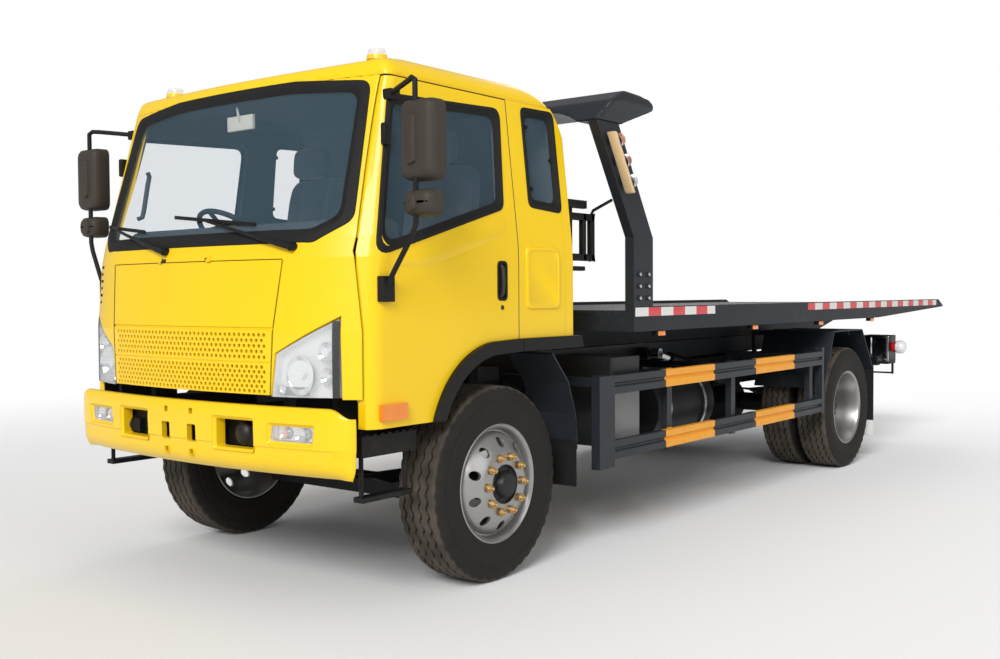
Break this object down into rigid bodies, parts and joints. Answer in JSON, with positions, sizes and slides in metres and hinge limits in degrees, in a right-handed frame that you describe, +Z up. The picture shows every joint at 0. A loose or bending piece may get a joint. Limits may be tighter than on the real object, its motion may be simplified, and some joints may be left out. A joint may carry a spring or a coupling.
{
  "type": "flatbed tow truck with sliding tilt bed",
  "caption": "Cab-over flatbed recovery truck with a tilting, sliding deck, headboard gantry, winch, tilt cab, opening doors and front lid, steered front wheels and twin rear wheels.",
  "frame": {"origin": "on the ground under the centre of the bounding box", "axes": "+X forward, +Y to the vehicle's left, +Z up"},
  "size_m": [8.35, 2.78, 2.64],
  "materials": {
    "cab_paint": "gloss yellow cab paint",
    "bed_paint": "dark blue-grey bed paint",
    "frame_black": "black chassis paint",
    "engine_grey": "dull cast metal",
    "spring_steel": "dark steel",
    "wheel_silver": "silver wheel paint",
    "tyre": "black rubber",
    "rubber_black": "black flap rubber",
    "plastic_black": "brown-black moulded plastic",
    "box_grey": "grey box paint",
    "floor_grey": "dark floor",
    "dash_grey": "grey dashboard plastic",
    "seat_fabric": "dark grey seat cloth",
    "glass": "clear blue-grey glass",
    "lamp_clear": "clear lamp lens",
    "lamp_red": "red lamp lens",
    "lamp_amber": "amber lamp lens",
    "lamp_bronze": "bronze lamp housing",
    "rod_chrome": "polished rod"
  },
  "bodies": {
    "chassis": {"chassis_frame": "frame_black", "engine_gearbox": "engine_grey", "driveshaft": "engine_grey", "front_axle": "frame_black", "rear_axle": "frame_black", "leaf_springs": "spring_steel", "front_bumper": "cab_paint", "fog_lamps": "lamp_clear", "tanks": "frame_black", "side_boxes": "box_grey", "side_guards": "bed_paint", "fenders": "plastic_black", "mud_flaps": "rubber_black", "tail_bar": "frame_black", "tail_lamps": "lamp_red"},
    "knuckle_left": {"knuckle_left": "spring_steel"},
    "knuckle_right": {"knuckle_right": "spring_steel"},
    "tie_rod": {"tie_rod": "spring_steel"},
    "wheel_front_left": {"tyre_front_left": "tyre", "wheel_front_left": "wheel_silver"},
    "wheel_front_right": {"tyre_front_right": "tyre", "wheel_front_right": "wheel_silver"},
    "wheel_rear_left": {"tyres_rear_left": "tyre", "wheel_rear_left": "wheel_silver"},
    "wheel_rear_right": {"tyres_rear_right": "tyre", "wheel_rear_right": "wheel_silver"},
    "cab": {"cab_roof": "cab_paint", "cab_nose": "cab_paint", "cab_sides": "cab_paint", "cab_rear": "cab_paint", "cab_floor": "floor_grey", "cab_glass": "glass", "headlamps": "lamp_clear", "roof_lamps": "lamp_clear", "wipers": "plastic_black", "dashboard": "dash_grey", "seats": "seat_fabric", "cab_trims": "plastic_black"},
    "front_lid": {"front_lid": "cab_paint"},
    "door_left": {"door_left": "cab_paint", "door_glass_left": "glass", "mirror_left": "plastic_black", "door_trim_left": "plastic_black", "side_lamp_left": "lamp_amber"},
    "door_right": {"door_right": "cab_paint", "door_glass_right": "glass", "mirror_right": "plastic_black", "door_trim_right": "plastic_black", "side_lamp_right": "lamp_amber"},
    "subframe": {"subframe": "bed_paint"},
    "bed": {"bed_deck": "bed_paint", "gantry_posts": "bed_paint", "gantry_beam": "bed_paint", "gantry_lamps": "lamp_bronze", "marker_lamps": "lamp_amber", "winch_frame": "frame_black"},
    "winch_drum": {"winch_drum": "spring_steel"},
    "tilt_barrels": {"tilt_barrels": "frame_black"},
    "tilt_rods": {"tilt_rods": "rod_chrome"}
  },
  "joints": [
    {"name": "steer_left", "type": "hinge", "parent": "chassis", "child": "knuckle_left", "pos_m": [3.025, 0.79, 0.502], "axis": [0, 0, 1], "range_deg": [-35, 35]},
    {"name": "steer_right", "type": "hinge", "parent": "chassis", "child": "knuckle_right", "pos_m": [3.025, -0.79, 0.502], "axis": [0, 0, 1], "range_deg": [-35, 35]},
    {"name": "tie_rod_swing", "type": "hinge", "parent": "knuckle_left", "child": "tie_rod", "pos_m": [2.795, 0.79, 0.39], "axis": [0, 0, 1], "range_deg": [-35, 35]},
    {"name": "roll_front_left", "type": "hinge", "parent": "knuckle_left", "child": "wheel_front_left", "pos_m": [3.025, 0.965, 0.502], "axis": [0, 1, 0], "continuous": true},
    {"name": "roll_front_right", "type": "hinge", "parent": "knuckle_right", "child": "wheel_front_right", "pos_m": [3.025, -0.965, 0.502], "axis": [0, 1, 0], "continuous": true},
    {"name": "roll_rear_left", "type": "hinge", "parent": "chassis", "child": "wheel_rear_left", "pos_m": [-1.625, 0.89, 0.502], "axis": [0, 1, 0], "continuous": true},
    {"name": "roll_rear_right", "type": "hinge", "parent": "chassis", "child": "wheel_rear_right", "pos_m": [-1.625, -0.89, 0.502], "axis": [0, 1, 0], "continuous": true},
    {"name": "cab_tilt", "type": "hinge", "parent": "chassis", "child": "cab", "pos_m": [4.075, 0, 0.8], "axis": [0, 1, 0], "range_deg": [0, 45]},
    {"name": "door_left_swing", "type": "hinge", "parent": "cab", "child": "door_left", "pos_m": [3.93, 1.08, 1.5], "axis": [0, 0, -1], "range_deg": [0, 70]},
    {"name": "door_right_swing", "type": "hinge", "parent": "cab", "child": "door_right", "pos_m": [3.93, -1.08, 1.5], "axis": [0, 0, 1], "range_deg": [0, 70]},
    {"name": "front_lid_swing", "type": "hinge", "parent": "cab", "child": "front_lid", "pos_m": [4.128, 0, 1.637], "axis": [0, -1, 0], "range_deg": [0, 75]},
    {"name": "bed_tilt", "type": "hinge", "parent": "chassis", "child": "subframe", "pos_m": [-2.575, 0, 1.03], "axis": [0, -1, 0], "range_deg": [0, 14]},
    {"name": "bed_slide", "type": "slide", "parent": "subframe", "child": "bed", "axis": [-1, 0, 0], "range_m": [0, 3.3]},
    {"name": "winch_turn", "type": "hinge", "parent": "bed", "child": "winch_drum", "pos_m": [1.525, 0, 1.492], "axis": [0, 1, 0], "continuous": true},
    {"name": "tilt_barrel_swing", "type": "hinge", "parent": "chassis", "child": "tilt_barrels", "pos_m": [-0.625, 0, 0.78], "axis": [0, -1, 0], "range_deg": [0, 32.5]},
    {"name": "tilt_rod_slide", "type": "slide", "parent": "tilt_barrels", "child": "tilt_rods", "axis": [0.9728, 0, 0.2316], "range_m": [0, 0.295]}
  ],
  "couplings": [
    {"joint": "steer_right", "follows": "steer_left", "ratio": 1},
    {"joint": "tie_rod_swing", "follows": "steer_left", "ratio": -1},
    {"joint": "tilt_barrel_swing", "follows": "bed_tilt", "ratio": 2.289},
    {"joint": "tilt_rod_slide", "follows": "bed_tilt", "m_per_rad": 1.187}
  ]
}
